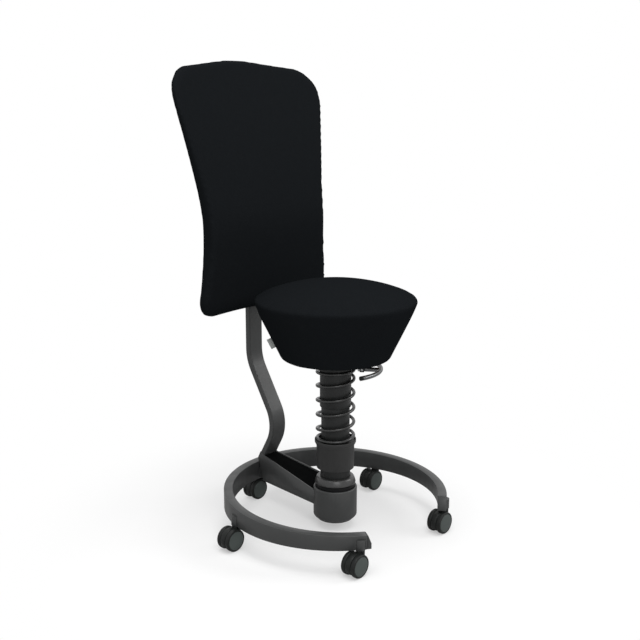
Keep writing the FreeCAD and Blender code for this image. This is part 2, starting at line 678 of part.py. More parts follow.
def column():
    """Guide tube, spring collar and its washer."""
    node("guide_tube", tube("guide_tube", "guide_radius", "guide_radius - guide_wall",
                            "neck_top", "guide_top"))
    bore = "guide_radius + run_room"
    shoulder = collar_foot + " + collar_shoulder"
    floor = collar_foot + " + collar_height"
    node("spring_collar", lathe("spring_collar", [
        (bore, collar_foot), ("collar_radius", collar_foot), ("collar_radius", shoulder),
        ("lip_radius", floor), ("lip_radius", floor + " + lip_height"),
        ("lip_radius - lip_wall", floor + " + lip_height"), ("lip_radius - lip_wall", floor),
        (bore, floor)]))
    washer = floor + " + collar_gap"
    node("spring_washer", tube("spring_washer", "spring_radius + wire_radius", bore,
                               washer, washer + " + seat_ring_thick"))


def spring_points():
    """Quarter-turn points and directions of the spring's wire, with closed ends."""
    quarters = int(round(4 * size("spring_turns")))
    radius = size("spring_radius")
    end = size("end_pitch")
    rise = size("spring_length") - 2 * size("wire_radius")
    ramp = [min(1.0, max(0.0, min(k, quarters - k) - 2.0) / 2.0) for k in range(quarters + 1)]
    share = sum((ramp[k] + ramp[k + 1]) / 2 for k in range(quarters)) / 4
    coil = end + (rise - end * quarters / 4) / share
    height = measure(spring_floor) + size("wire_radius")
    points = []
    for k in range(quarters + 1):
        pitch = end + (coil - end) * ramp[k]
        if k:
            height += (pitch + last) / 8
        last = pitch
        turn = math.radians(size("spring_start_angle")) + math.pi / 2 * k
        across = Vector(math.cos(turn), math.sin(turn), 0)
        along = Vector(-math.sin(turn), math.cos(turn), pitch / (2 * math.pi * radius))
        points.append((across * radius + UP * height, along.normalize()))
    return points


def biarc(start, leaving, stop, arriving):
    """Two arcs that leave one point and arrive at another in given directions."""
    chord = stop - start
    both = leaving + arriving
    spread = 2 * (1 - leaving.dot(arriving))
    slide = chord.dot(both)
    reach = (math.sqrt(slide * slide + spread * chord.dot(chord)) - slide) / spread
    joint = (start + stop + (leaving - arriving) * reach) * 0.5
    arcs = []
    for first, second, corner in ((start, joint, start + leaving * reach),
                                  (joint, stop, stop - arriving * reach)):
        middle = (first + second) * 0.5
        half = (second - first).Length / 2
        bow = half * math.tan(math.acos(min(1.0, half / reach)) / 2)
        arcs.append(Part.Arc(first, middle + (corner - middle).normalize() * bow, second).toShape())
    return arcs


def coil_spring():
    """The spring: one round wire wound in open turns between closed ends."""
    points = spring_points()
    path = []
    for (start, leaving), (stop, arriving) in zip(points, points[1:]):
        path.extend(biarc(start, leaving, stop, arriving))
    section = Part.Wire([Part.makeCircle(size("wire_radius"), points[0][0], points[0][1])])
    wire = swept(path, section)
    length = sum(edge.Length for edge in path)
    samples = []
    run = 0.0
    for edge in path:
        for step in range(SPRING_SAMPLES):
            share = step / SPRING_SAMPLES
            spot = edge.FirstParameter + (edge.LastParameter - edge.FirstParameter) * share
            samples.append((run + edge.Length * share, edge.valueAt(spot)))
        run += edge.Length
    apart = math.pi * size("spring_radius")
    gap = min((one - two).Length for at, one in samples for to, two in samples if to - at > apart)
    print("spring: wire %.0f mm, least gap to itself %.2f mm, volume ratio %.4f" % (
        length, gap - 2 * size("wire_radius"), wire.Volume / (length * math.pi * size("wire_radius") ** 2)))
    node("coil_spring", solid("coil_spring", wire))


def gas_spring():
    """Sleeve and spring plate that bounce, with the gas spring inside them."""
    bore = "guide_radius + 2 * run_room"
    node("outer_sleeve", tube("outer_sleeve", bore + " + sleeve_wall", bore,
                              plate_foot + " - sleeve_length", plate_foot))
    node("spring_plate", tube("spring_plate", "plate_radius", "casing_radius", plate_foot, plate_top))
    node("gas_casing", lathe("gas_casing", [
        ("rod_radius", casing_foot), ("casing_radius", casing_foot), ("casing_radius", plate_top),
        (casing_bore, plate_top), (casing_bore, casing_foot + " + casing_floor"),
        ("rod_radius", casing_foot + " + casing_floor")]))
    node("guide_bush", lathe("guide_bush", [
        ("gas_radius + run_room", plate_top + " - bush_length"),
        (casing_bore, plate_top + " - bush_length"), (casing_bore, plate_top),
        ("casing_radius", plate_top), ("casing_radius", bush_top), ("gas_radius + run_room", bush_top)]))
    node("piston_rod", rod("piston_rod", "rod_radius", "rod_length", UP * measure(casing_foot)))
    rod_bore = "rod_radius + run_room"
    rod_roof = casing_foot + " + rod_length + rod_head_room"
    pin_bore = "release_radius + run_room"
    pin_floor = release_top + " - release_length - release_room"
    node("gas_cylinder", lathe("gas_cylinder", [
        (rod_bore, gas_foot), ("gas_radius", gas_foot), ("gas_radius", gas_top), (pin_bore, gas_top),
        (pin_bore, pin_floor), ("0", pin_floor), ("0", rod_roof), (rod_bore, rod_roof)]))
    node("release_pin", rod("release_pin", "release_radius", "release_length",
                            UP * measure(release_top + " - release_length")))


def lever_frame():
    """Outward direction of the lever, the direction across it, and its pivot."""
    angle = math.radians(size("lever_angle"))
    outward = Vector(math.sin(angle), -math.cos(angle), 0)
    across = UP.cross(outward)
    height = measure(dish_foot + " - lever_drop")
    return outward, across, outward * size("lever_pivot") + UP * height


def along_lever(thing):
    """Turn a piece drawn with the lever along +X so that it lies under the seat."""
    return place(thing, Vector(), UP, size("lever_angle") - 90)


def seat_frame():
    """Mechanism dish with its bearing hub, the screws and the pan over it."""
    hub_bore = "gas_radius + run_room"
    hub_outer = hub_bore + " + hub_wall"
    roof = gas_top + " + collar_gap"
    floor_top = dish_foot + " + dish_thick"
    flange_foot = dish_top + " - dish_thick"
    pressed = lathe("dish_pressed", [
        (hub_bore, dish_foot), ("dish_radius", dish_foot), ("dish_radius", flange_foot),
        ("dish_flange", flange_foot), ("dish_flange", dish_top), ("dish_radius - dish_thick", dish_top),
        ("dish_radius - dish_thick", floor_top), (hub_outer, floor_top), (hub_outer, hub_top),
        ("release_hole", hub_top), ("release_hole", roof), (hub_bore, roof)])
    slot = [("lever_pivot - lever_radius - crank_depth - slot_room", dish_foot + " - dish_thick"),
            ("lever_pivot - lever_radius + slot_room / 2", dish_foot + " - dish_thick"),
            ("lever_pivot - lever_radius + slot_room / 2", hub_top),
            ("lever_pivot - lever_radius - crank_depth - slot_room", hub_top)]
    slotted = along_lever(prism("dish_slot", "XZ_Plane", slot, "crank_thick + slot_room"))
    holes = []
    screws = []
    for quarter in range(4):
        turn = math.radians(45 + 90 * quarter)
        spot = Vector(math.cos(turn), math.sin(turn), 0) * size("screw_circle")
        under = spot + UP * measure(flange_foot)
        shank = rod("seat_shank_%d" % quarter, "screw_radius", "screw_length", under)
        head = rod("seat_head_%d" % quarter, "screw_head", "screw_head_thick",
                   under - UP * size("screw_head_thick"))
        screws.append(join("seat_screw_%d" % quarter, [shank, head]))
        holes.append(rod("seat_hole_%d" % quarter, "screw_radius", "screw_length", under))
    node("seat_dish", cut("seat_dish", pressed, slotted, *holes))
    node("seat_screws", together("seat_screws", screws))
    recess = "dish_radius - dish_thick"
    board = lathe("pan_board", [
        (recess, seat_foot), ("pan_radius - pan_bevel", seat_foot),
        ("pan_radius", seat_foot + " + pan_bevel"), ("pan_radius", pan_top), ("0", pan_top),
        ("0", seat_foot + " + recess_height"), (recess, seat_foot + " + recess_height")])
    node("seat_pan", cut("seat_pan", board, *[copy_of(hole) for hole in holes]))


def copy_of(bar):
    """A second bar in the same place, for another cut."""
    twin = doc.addObject("Part::Cylinder", bar.Name + "_again")
    for prop, formula in bar.ExpressionEngine:
        twin.setExpression(prop, formula)
    twin.Placement = bar.Placement
    return twin


def seat_cushion():
    """Crowned round cushion with slanted sides, hollow where it sits on the pan."""
    crown = "(seat_rim_radius^2 + seat_crown^2) / (2 * seat_crown)"
    top = seat_foot + " + seat_rim_rise + seat_crown"
    dome_ball = ball("crown_ball", crown, top + " - " + crown)
    cone = doc.addObject("Part::Cone", "cushion_sides")
    bind(cone, "Radius1", "seat_foot_radius")
    bind(cone, "Radius2", "2 * seat_rim_radius - seat_foot_radius")
    bind(cone, "Height", "2 * seat_rim_rise")
    bind(cone, "Placement.Base.z", seat_foot)
    blank = overlap("cushion_blank", cone, dome_ball)
    foot = measure(seat_foot)
    middle = foot + size("seat_rim_rise")

    def rim(edge):
        """The circle where the crown meets the sides."""
        level = edge.BoundBox.ZLength < TOUCH
        return level and edge.BoundBox.ZMin > foot + TOUCH and edge.BoundBox.ZMax < middle + TOUCH

    def lower(edge):
        """The circle round the cushion's foot."""
        return edge.BoundBox.ZMax < foot + TOUCH

    eased = rounded("cushion_eased", blank, size("seat_rim_round"), rim)
    soft = rounded("cushion_soft", eased, size("seat_foot_round"), lower)
    room = rod("cushion_room", "pan_radius + soft_room", "pan_thick + soft_room", UP * foot)
    node("seat_cushion", cut("seat_cushion", soft, room))


def lever():
    """Bracket, pin, stem with a bow to pull at, tips, and the crank that reaches the release pin."""
    outward, across, pivot = lever_frame()
    half_gap = "lever_radius + ear_room"
    ears = []
    foot = dish_foot + " - lever_drop - lever_radius"
    for side, way in (("left", 1), ("right", -1)):
        outline = [("lever_pivot - ear_width / 2", foot), ("lever_pivot + ear_width / 2", foot),
                   ("lever_pivot + ear_width / 2", dish_foot), ("lever_pivot - ear_width / 2", dish_foot)]
        ear = prism("ear_" + side, "XZ_Plane", outline, "ear_thick")
        along_lever(ear)
        ear.Placement.Base = across * (way * (measure(half_gap) + size("ear_thick") / 2))
        ears.append(ear)
    pin_half = measure(half_gap) + size("ear_thick")
    pin_axis = (pivot - across * pin_half, across)
    pin_length = "2 * lever_radius + 2 * ear_room + 2 * ear_thick"
    hole = rod("ear_hole", "lever_pin", pin_length, *pin_axis)
    node("lever_bracket", cut("lever_bracket", together("lever_ears", ears), hole))
    node("lever_pin", rod("lever_pin", "lever_pin", pin_length, *pin_axis))
    inner = pivot - outward * size("lever_radius")
    stem = rod("lever_stem", "lever_radius", "lever_bow_radius - lever_pivot + lever_radius",
               inner, outward)
    bow = doc.addObject("Part::Torus", "lever_bow")
    bind(bow, "Radius1", "lever_bow_radius")
    bind(bow, "Radius2", "lever_radius")
    bind(bow, "Angle3", "2 * lever_bow_half")
    half = size("lever_bow_half")
    place(bow, UP * pivot.z, UP, size("lever_angle") - half - 90)
    bore = rod("lever_bore", "lever_pin + run_room", pin_length, *pin_axis)
    node("lever_rod", cut("lever_rod", join("lever_bar", [stem, bow]), bore))
    tips = []
    for side, way in (("left", 1), ("right", -1)):
        bearing = math.radians(size("lever_angle") + way * half)
        end = Vector(math.sin(bearing), -math.cos(bearing), 0) * size("lever_bow_radius") + UP * pivot.z
        onward = Vector(math.cos(bearing), math.sin(bearing), 0) * way
        tips.append(rod("lever_tip_" + side, "lever_radius", "lever_tip_length", end, onward))
    node("lever_tip", together("lever_tip", tips))
    face = "lever_pivot - lever_radius"
    outline = [(face + " - crank_depth", foot), (face, foot), (face, crank_foot + " + crank_depth"),
               ("-release_radius / 2", crank_foot + " + crank_depth"), ("-release_radius / 2", crank_foot),
               (face + " - crank_depth", crank_foot)]
    node("lever_crank", along_lever(prism("lever_crank", "XZ_Plane", outline, "crank_thick")))


def back_post():
    """Flat bar with rounded edges, bent twice, from the arm's heel up into the back."""
    corners = [Vector(0, measure(post_foot_y), size("post_foot_z")),
               Vector(0, measure(post_knee_y), size("post_knee_z")),
               Vector(0, measure(post_face_y), size("post_shoulder_z")),
               Vector(0, measure(post_face_y), size("post_top"))]
    path = tangent_path(corners, [0, size("post_bend_radius"), size("post_bend_radius"), 0])
    run = (corners[1] - corners[0]).normalize()
    rear = ALONG_X.cross(run) * -1
    half = size("post_width") / 2
    depth = size("post_depth")
    box = [corners[0] + ALONG_X * x + rear * y for x, y in
           ((-half, 0), (half, 0), (half, depth), (-half, depth))]
    section = Part.Wire(tangent_path(box, [size("post_round")] * 4, closed=True))
    node("back_post", solid("back_post", swept(path, section)))


def back_face(height):
    """Front of the back at its middle, at one height."""
    waist = size("back_waist")
    if height < waist:
        share = (waist - height) / (waist - size("back_bottom"))
        return measure(lumbar_face) + size("back_foot_lean") * share * share
    share = (height - waist) / (size("back_top") - waist)
    return measure(lumbar_face) + size("back_head_lean") * share ** LEAN_POWER


def back_layers(height):
    """Depths, at the middle and at the edges, of the back's four layer faces at one height."""
    waist = size("back_waist")
    front = back_face(height)
    edge = front - size("back_wrap")
    rear = measure(lumbar_face) + size("lumbar_thick")
    shell = measure(post_face_y) - size("shell_thick") - 2 * size("soft_room")
    if height > waist:
        share = (height - waist) / (size("back_top") - waist)
        lumbar = size("lumbar_thick")
        thick = lumbar + (size("back_head_thick") - lumbar) * share
        rear = front + thick
        shell = front + (shell - measure(lumbar_face)) * thick / lumbar
    sheet_edge = (size("back_edge") - size("shell_thick")) / 2
    return ((front, edge), (shell, edge + sheet_edge),
            (shell + size("shell_thick"), edge + sheet_edge + size("shell_thick")),
            (rear, edge + size("back_edge")))


def back_slab(first, second, room):
    """Curved layer between two faces of the back, wider than the back."""
    half = size("back_head_half") + size("back_edge")
    low = size("back_bottom") - size("back_overrun")
    high = size("back_top") + size("back_top_rise") + size("back_overrun")
    wires = []
    for station in range(BACK_STATIONS):
        height = low + (high - low) * station / (BACK_STATIONS - 1)
        faces = back_layers(height)
        (near, near_edge), (far, far_edge) = faces[first], faces[second]
        left, middle, right = -half, 0.0, half
        ahead = [Vector(left, near_edge + room, height), Vector(middle, near + room, height),
                 Vector(right, near_edge + room, height)]
        behind = [Vector(right, far_edge - room, height), Vector(middle, far - room, height),
                  Vector(left, far_edge - room, height)]
        wires.append(Part.Wire([
            Part.Arc(*ahead).toShape(), Part.LineSegment(ahead[2], behind[0]).toShape(),
            Part.Arc(*behind).toShape(), Part.LineSegment(behind[2], ahead[0]).toShape()]))
    return Part.makeLoft(wires, True, False)


def back_outline(inset=0.0):
    """Prism of the back's hourglass outline, seen from the front."""
    halves = ("back_foot_half", "back_waist_half", "back_head_half")
    foot, waist, head = (size(word) - inset for word in halves)
    bottom = size("back_bottom") + inset
    top = size("back_top") - inset
    middle = size("back_waist")
    right = [Vector(foot, 0, bottom), Vector(waist, 0, middle), Vector(head, 0, top)]
    crest = [Vector(0, 0, top + size("back_top_rise"))]
    left = [Vector(-spot.x, 0, spot.z) for spot in reversed(right)]
    rounds = [size("back_foot_round") - inset / 2, size("back_waist_round"),
              size("back_head_round") - inset / 2]
    slack = size("back_head_half") ** 2 / (4 * size("back_top_rise"))
    path = tangent_path(right + crest + left, rounds + [slack] + rounds[::-1], closed=True)
    depth = 2 * (measure(post_face_y) + size("back_head_lean"))
    return Part.Face(Part.Wire(path)).extrude(ALONG_Y * depth)


def backrest():
    """Pad, shell and rear cover of the back, and the screws that hold the shell to the post."""
    room = size("soft_room") / 2
    outline = back_outline()
    node("back_pad", solid("back_pad", back_slab(0, 1, room).common(outline)))
    rim = back_outline(size("shell_inset"))
    drill = []
    screws = []
    number = 0
    depth = size("post_depth") + size("shell_thick")
    front = measure(post_face_y) - size("shell_thick") + room
    for level in ("back_screw_low", "back_screw_high"):
        for way in (-1, 1):
            base = Vector(way * size("back_screw_half"), front, size(level))
            screws.append(rod("back_screw_%d" % number, "screw_radius", "post_depth + shell_thick",
                              base, ALONG_Y))
            drill.append(Part.makeCylinder(size("screw_radius"), depth, base, ALONG_Y))
            number += 1
    shell = back_slab(1, 2, room).common(rim)
    node("back_shell", solid("back_shell", shell.cut(Part.makeCompound(drill))))
    post = doc.getObject("back_post")
    post.Shape = post.Shape.cut(Part.makeCompound(drill))
    pocket_half = size("post_width") / 2 + size("soft_room")
    pocket = Part.makeBox(2 * pocket_half, size("post_depth") + 2 * size("soft_room") + depth,
                          size("post_top") + size("soft_room"),
                          Vector(-pocket_half, measure(post_face_y) - depth - size("soft_room"), 0))
    node("back_cover", solid("back_cover", back_slab(2, 3, room).common(outline).cut(pocket)))
    node("back_screws", together("back_screws", screws))


def build():
    """Make every sub-part."""
    base_ring()
    castor_sockets()
    for index, name in enumerate(CASTOR_NAMES):
        castor(index, name)
    base_arm()
    housing()
    tilt_joint()
    dome()
    column()
    coil_spring()
    gas_spring()
    seat_frame()
    seat_cushion()
    lever()
    back_post()
    backrest()


def write_parts():
    """Test every object and sub-part, then write each sub-part to its own file."""
    doc.recompute()
    failed = [thing.Name for thing in doc.Objects if {"Invalid", "Error"} & set(thing.State)]
    broken = [thing.Label for thing in nodes if thing.Shape.isNull() or not thing.Shape.isValid()]
    empty = [thing.Label for thing in nodes if not thing.Shape.Solids]
    if failed or broken or empty:
        raise RuntimeError("failed %s, broken %s, empty %s" % (failed, broken, empty))
    os.makedirs("parts", exist_ok=True)
    for thing in nodes:
        thing.Shape.exportStep(os.path.join("parts", thing.Label + ".step"))
        print("%-34s %2d solids %9.1f cm3" % (
            thing.Label, len(thing.Shape.Solids), thing.Shape.Volume / 1000))


build()
write_parts()
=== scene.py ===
"""Wobble stool with a backrest, dressed for a plain white studio.

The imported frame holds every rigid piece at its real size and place. This script adds the upholstery, the spring,
the castor wheels, the sewn details and the finishes. Lengths are metres, or millimetres where a name ends in _mm.
"""

import logging
import math
from dataclasses import dataclass, field
from enum import Enum
from typing import Callable, Optional, Sequence, Union

import bmesh
import bpy
from mathutils import Matrix, Vector


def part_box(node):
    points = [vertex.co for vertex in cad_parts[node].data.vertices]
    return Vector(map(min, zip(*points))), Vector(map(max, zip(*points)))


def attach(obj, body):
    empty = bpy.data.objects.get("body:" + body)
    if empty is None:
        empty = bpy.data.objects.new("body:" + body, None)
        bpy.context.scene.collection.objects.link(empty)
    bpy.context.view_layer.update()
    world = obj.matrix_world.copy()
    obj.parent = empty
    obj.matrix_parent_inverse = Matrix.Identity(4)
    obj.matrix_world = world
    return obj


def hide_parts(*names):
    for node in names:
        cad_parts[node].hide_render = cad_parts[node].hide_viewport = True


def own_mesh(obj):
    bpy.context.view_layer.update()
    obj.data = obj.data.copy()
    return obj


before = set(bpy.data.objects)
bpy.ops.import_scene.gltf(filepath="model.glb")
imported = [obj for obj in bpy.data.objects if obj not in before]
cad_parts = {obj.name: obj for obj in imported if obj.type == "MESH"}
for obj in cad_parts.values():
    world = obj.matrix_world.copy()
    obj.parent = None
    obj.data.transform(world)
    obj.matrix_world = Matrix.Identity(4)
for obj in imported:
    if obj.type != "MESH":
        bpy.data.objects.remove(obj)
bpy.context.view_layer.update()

LOG = logging.getLogger("wobble_stool")
MM = 0.001
WELD_MM = 0.01
EDGE_SEGMENTS = 2
EDGE_ANGLE_DEG = 35
WHITE = (1.0, 1.0, 1.0, 1.0)
MIX_FACTOR, MIX_FIRST, MIX_SECOND, MIX_RESULT = 0, 6, 7, 2

Profile = Sequence[tuple[float, float]]
Colour = tuple[float, float, float, float]
Spot = tuple[float, float, float]
Value = Union[float, Sequence[float], bpy.types.NodeSocket]


class Castor(Enum):
    """The castors, by where they stand seen by the sitter."""

    FRONT_LEFT = "front_left"
    SIDE_LEFT = "side_left"
    REAR = "rear"
    SIDE_RIGHT = "side_right"
    FRONT_RIGHT = "front_right"


class Side(Enum):
    """The two wheels of a castor, by the way that their outer faces look along Y."""

    NEAR = -1
    FAR = 1


def linear(hex_colour: str) -> Colour:
    """Turn an sRGB hex value into a linear colour.

    Args:
        hex_colour: colour as #RRGGBB.

    Returns:
        Red, green, blue and alpha for a shader socket.
    """
    channels = [int(hex_colour[k:k + 2], 16) / 255 for k in (1, 3, 5)]
    red, green, blue = (c / 12.92 if c <= 0.04045 else ((c + 0.055) / 1.055) ** 2.4 for c in channels)
    return red, green, blue, 1.0


def shade(colour: Colour, factor: float) -> Colour:
    """Make a linear colour darker or lighter."""
    red, green, blue, alpha = colour
    return red * factor, green * factor, blue * factor, alpha


def per_metre(spacing_mm: float) -> float:
    """Texture scale that repeats a pattern at a real spacing."""
    return 1.0 / (spacing_mm * MM)


def add(tree: bpy.types.NodeTree, kind: str, inputs: Optional[dict[Union[str, int], Value]] = None,
        **settings: object) -> bpy.types.Node:
    """Add one node with its settings and links.

    Args:
        tree: node tree that gets the node.
        kind: Blender's name of the node type.
        inputs: values or source sockets, by the input's name or number.
        settings: attributes of the node.

    Returns:
        The new node.
    """
    node = tree.nodes.new(kind)
    for name, value in settings.items():
        setattr(node, name, value)
    for name, value in (inputs or {}).items():
        if isinstance(value, bpy.types.NodeSocket):
            tree.links.new(value, node.inputs[name])
        else:
            node.inputs[name].default_value = value
    return node


@dataclass
class Canvas:
    """A new material while its nodes are laid out."""

    material: bpy.types.Material
    tree: bpy.types.NodeTree
    shader: bpy.types.Node
    place: bpy.types.NodeSocket

    def noise(self, spacing_mm: float, detail: float = 2.0) -> bpy.types.NodeSocket:
        """Soft random pattern of a real grain size.

        Args:
            spacing_mm: size of the grains.
            detail: how many finer layers are added.

        Returns:
            The pattern's value, from 0 to 1.
        """
        grain = add(self.tree, "ShaderNodeTexNoise",
                    {"Vector": self.place, "Scale": per_metre(spacing_mm), "Detail": detail})
        return grain.outputs["Fac"]

    def tones(self, share: bpy.types.NodeSocket, dark: Colour, light: Colour) -> None:
        """Colour the shader between two tones."""
        mix = add(self.tree, "ShaderNodeMix", {MIX_FACTOR: share, MIX_FIRST: dark, MIX_SECOND: light},
                  data_type="RGBA")
        self.tree.links.new(mix.outputs[MIX_RESULT], self.shader.inputs["Base Color"])

    def spread(self, share: bpy.types.NodeSocket, socket: str, low: float, high: float) -> None:
        """Drive one number of the shader between two values."""
        span = add(self.tree, "ShaderNodeMapRange", {"Value": share, "To Min": low, "To Max": high})
        self.tree.links.new(span.outputs["Result"], self.shader.inputs[socket])

    def relief(self, height: bpy.types.NodeSocket, depth_mm: float, strength: float) -> None:
        """Raise the surface by a pattern."""
        bump = add(self.tree, "ShaderNodeBump",
                   {"Height": height, "Distance": depth_mm * MM, "Strength": strength})
        self.tree.links.new(bump.outputs["Normal"], self.shader.inputs["Normal"])


def canvas(name: str) -> Canvas:
    """Start a material with a principled shader, placed by the part's own frame.

    Args:
        name: name of the material.

    Returns:
        The material with the nodes that every finish needs.
    """
    material = bpy.data.materials.new(name)
    material.use_nodes = True
    tree = material.node_tree
    tree.nodes.clear()
    shader = tree.nodes.new("ShaderNodeBsdfPrincipled")
    out = tree.nodes.new("ShaderNodeOutputMaterial")
    tree.links.new(shader.outputs["BSDF"], out.inputs["Surface"])
    place = tree.nodes.new("ShaderNodeTexCoord").outputs["Object"]
    return Canvas(material, tree, shader, place)


@dataclass(frozen=True)
class EvenSkin:
    """A skin of one colour with faint clouds of tone and gloss and a fine grain."""

    name: str
    colour: str
    roughness: float = 0.5
    gloss: float = 0.2
    tone: float = 0.1
    cloud_mm: float = 30.0
    cloud_detail: float = 2.0
    cloud_spread: float = 0.05
    grain_mm: float = 1.5
    grain_detail: float = 2.0
    relief_mm: float = 0.05
    relief_strength: float = 0.3

    def material(self) -> bpy.types.Material:
        """Lay out the skin's nodes."""
        skin = canvas(self.name)
        base = linear(self.colour)
        cloud = skin.noise(self.cloud_mm, self.cloud_detail)
        skin.tones(cloud, shade(base, 1 - self.tone), shade(base, 1 + self.tone))
        skin.spread(cloud, "Roughness", self.roughness - self.cloud_spread, self.roughness + self.cloud_spread)
        skin.shader.inputs["Specular IOR Level"].default_value = self.gloss
        skin.relief(skin.noise(self.grain_mm, self.grain_detail), self.relief_mm, self.relief_strength)
        return skin.material


@dataclass(frozen=True)
class PowderCoat(EvenSkin):
    """Polyester powder coat, sprayed and baked: an even dark film with a fine orange-peel skin and a satin gloss.

    The real grain of about 0.5 mm is drawn coarser, or the picture would not show it.
    """

    roughness: float = 0.42
    gloss: float = 0.3
    cloud_mm: float = 45.0
    cloud_detail: float = 3.0
    grain_mm: float = 1.6
    relief_mm: float = 0.06
    relief_strength: float = 0.35


@dataclass(frozen=True)
class MouldedPlastic(EvenSkin):
    """Injection-moulded nylon or ABS from a spark-eroded tool: matt, with a fine leathery grain."""

    roughness: float = 0.55
    tone: float = 0.12
    cloud_mm: float = 25.0
    cloud_spread: float = 0.06
    grain_mm: float = 1.2
    grain_detail: float = 1.0
    relief_strength: float = 0.25


@dataclass(frozen=True)
class PlatedSteel:
    """Drawn steel with a thin zinc plating: a grey metal with faint scratches and soft reflections."""

    name: str
    colour: str
    scratch_mm: float = 0.8
    scratch_detail: float = 4.0
    scratch_depth_mm: float = 0.02
    scratch_strength: float = 0.15
    dullness: float = 0.8
    smoothest: float = 0.28
    roughest: float = 0.42

    def material(self) -> bpy.types.Material:
        """Lay out the metal's nodes."""
        metal = canvas(self.name)
        base = linear(self.colour)
        scratches = metal.noise(self.scratch_mm, self.scratch_detail)
        metal.tones(scratches, shade(base, self.dullness), base)
        metal.shader.inputs["Metallic"].default_value = 1.0
        metal.spread(scratches, "Roughness", self.smoothest, self.roughest)
        metal.relief(scratches, self.scratch_depth_mm, self.scratch_strength)
        return metal.material


@dataclass(frozen=True)
class WovenUpholstery:
    """Wool-blend upholstery, woven and fulled: near-black, deep and matt, with a dense pebbled weave.

    The real threads lie about 1 mm apart and are drawn coarser, so that the picture shows them.
    """

    name: str
    colour: str
    lit_colour: str
    thread_mm: float = 2.2
    thread_softness: float = 0.4
    thread_reach: float = 0.8
    thread_depth_mm: float = 0.25
    thread_strength: float = 0.5
    slub_mm: float = 16.0
    slub_detail: float = 4.0
    roughness: float = 0.95
    gloss: float = 0.0

    def material(self) -> bpy.types.Material:
        """Lay out the cloth's nodes."""
        cloth = canvas(self.name)
        cells = add(cloth.tree, "ShaderNodeTexVoronoi",
                    {"Vector": cloth.place, "Scale": per_metre(self.thread_mm), "Smoothness": self.thread_softness},
                    feature="SMOOTH_F1")
        height = add(cloth.tree, "ShaderNodeMapRange",
                     {"Value": cells.outputs["Distance"], "From Max": self.thread_reach, "To Min": 1.0,
                      "To Max": 0.0}).outputs["Result"]
        slub = cloth.noise(self.slub_mm, self.slub_detail)
        # Painted highlight and shade: the raised thread tops take the lit colour and the gaps between threads take the
        # darker colour; the slub noise varies this at random.
        share = add(cloth.tree, "ShaderNodeMath", {0: height, 1: slub}, operation="MULTIPLY").outputs[0]
        cloth.tones(share, linear(self.colour), linear(self.lit_colour))
        cloth.shader.inputs["Roughness"].default_value = self.roughness
        cloth.shader.inputs["Specular IOR Level"].default_value = self.gloss
        cloth.relief(height, self.thread_depth_mm, self.thread_strength)
        return cloth.material


@dataclass(frozen=True)
class Plywood:
    """Raw birch plywood, sawn and sanded: pale brown with long dull grain."""

    name: str
    colour: str
    grain_mm: float = 6.0
    grain_tone: float = 0.7
    grain_waves: float = 6.0
    grain_depth_mm: float = 0.05
    grain_strength: float = 0.2
    roughness: float = 0.7

    def material(self) -> bpy.types.Material:
        """Lay out the wood's nodes."""
        wood = canvas(self.name)
        base = linear(self.colour)
        wave = add(wood.tree, "ShaderNodeTexWave",
                   {"Vector": wood.place, "Scale": per_metre(self.grain_mm) / math.tau, "Distortion": self.grain_waves})
        grain = wave.outputs["Fac"]
        wood.tones(grain, shade(base, self.grain_tone), base)
        wood.shader.inputs["Roughness"].default_value = self.roughness
        wood.relief(grain, self.grain_depth_mm, self.grain_strength)
        return wood.material


@dataclass
class Finishes:
    """Every finish of the stool, made once."""

    frame_coat: bpy.types.Material = field(
        default_factory=lambda: PowderCoat("anthracite_powder_coat", "#3A3B3B", gloss=0.4).material())
    column_coat: bpy.types.Material = field(
        default_factory=lambda: PowderCoat("black_powder_coat", "#242525", gloss=0.25).material())
    spring_coat: bpy.types.Material = field(
        default_factory=lambda: PowderCoat("spring_powder_coat", "#171818", roughness=0.25, gloss=0.6).material())
    black_plastic: bpy.types.Material = field(
        default_factory=lambda: MouldedPlastic("black_nylon", "#121414").material())
    cover_plastic: bpy.types.Material = field(
        default_factory=lambda: MouldedPlastic("matt_black_sheet", "#0A0B0B", roughness=0.9, gloss=0.02).material())
    dome_plastic: bpy.types.Material = field(
        default_factory=lambda: MouldedPlastic("dome_polypropylene", "#353535", roughness=0.3, gloss=0.5).material())
    collar_plastic: bpy.types.Material = field(
        default_factory=lambda: MouldedPlastic("collar_nylon", "#363636", roughness=0.45).material())
    tread: bpy.types.Material = field(
        default_factory=lambda: MouldedPlastic("castor_tread_nylon", "#191B1A", roughness=0.42).material())
    cap: bpy.types.Material = field(
        default_factory=lambda: MouldedPlastic("castor_cap_nylon", "#484E4C", roughness=0.45).material())
    steel: bpy.types.Material = field(
        default_factory=lambda: PlatedSteel("zinc_plated_steel", "#A4A5A6").material())
    # Painted shade: this near-black steel finish makes the bearing cup in the groove between dome and housing read as a
    # dark recess; the gimbal ring and pins share it.
    black_steel_groove_shade: bpy.types.Material = field(
        default_factory=lambda: PowderCoat("near_black_steel_groove_shade", "#151516", gloss=0.15).material())
    lever_steel: bpy.types.Material = field(
        default_factory=lambda: PlatedSteel("dark_plated_steel", "#6E6F70").material())
    rubber: bpy.types.Material = field(
        default_factory=lambda: MouldedPlastic("black_rubber", "#101010", roughness=0.8).material())
    board: bpy.types.Material = field(
        default_factory=lambda: Plywood("birch_plywood", "#B58E5E").material())
    cloth: bpy.types.Material = field(
        default_factory=lambda: WovenUpholstery("black_wool_upholstery", "#16181A", "#1B1D1F").material())
    label: bpy.types.Material = field(
        default_factory=lambda: WovenUpholstery("grey_woven_label", "#A9ADAB", "#C3C6C4", thread_mm=1.0).material())


def dress(finish: bpy.types.Material, *nodes: str) -> None:
    """Give rigid nodes a finish.

    Args:
        finish: material to wear.
        nodes: names of nodes of the frame.
    """
    for name in nodes:
        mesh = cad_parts[name].data
        mesh.materials.clear()
        mesh.materials.append(finish)


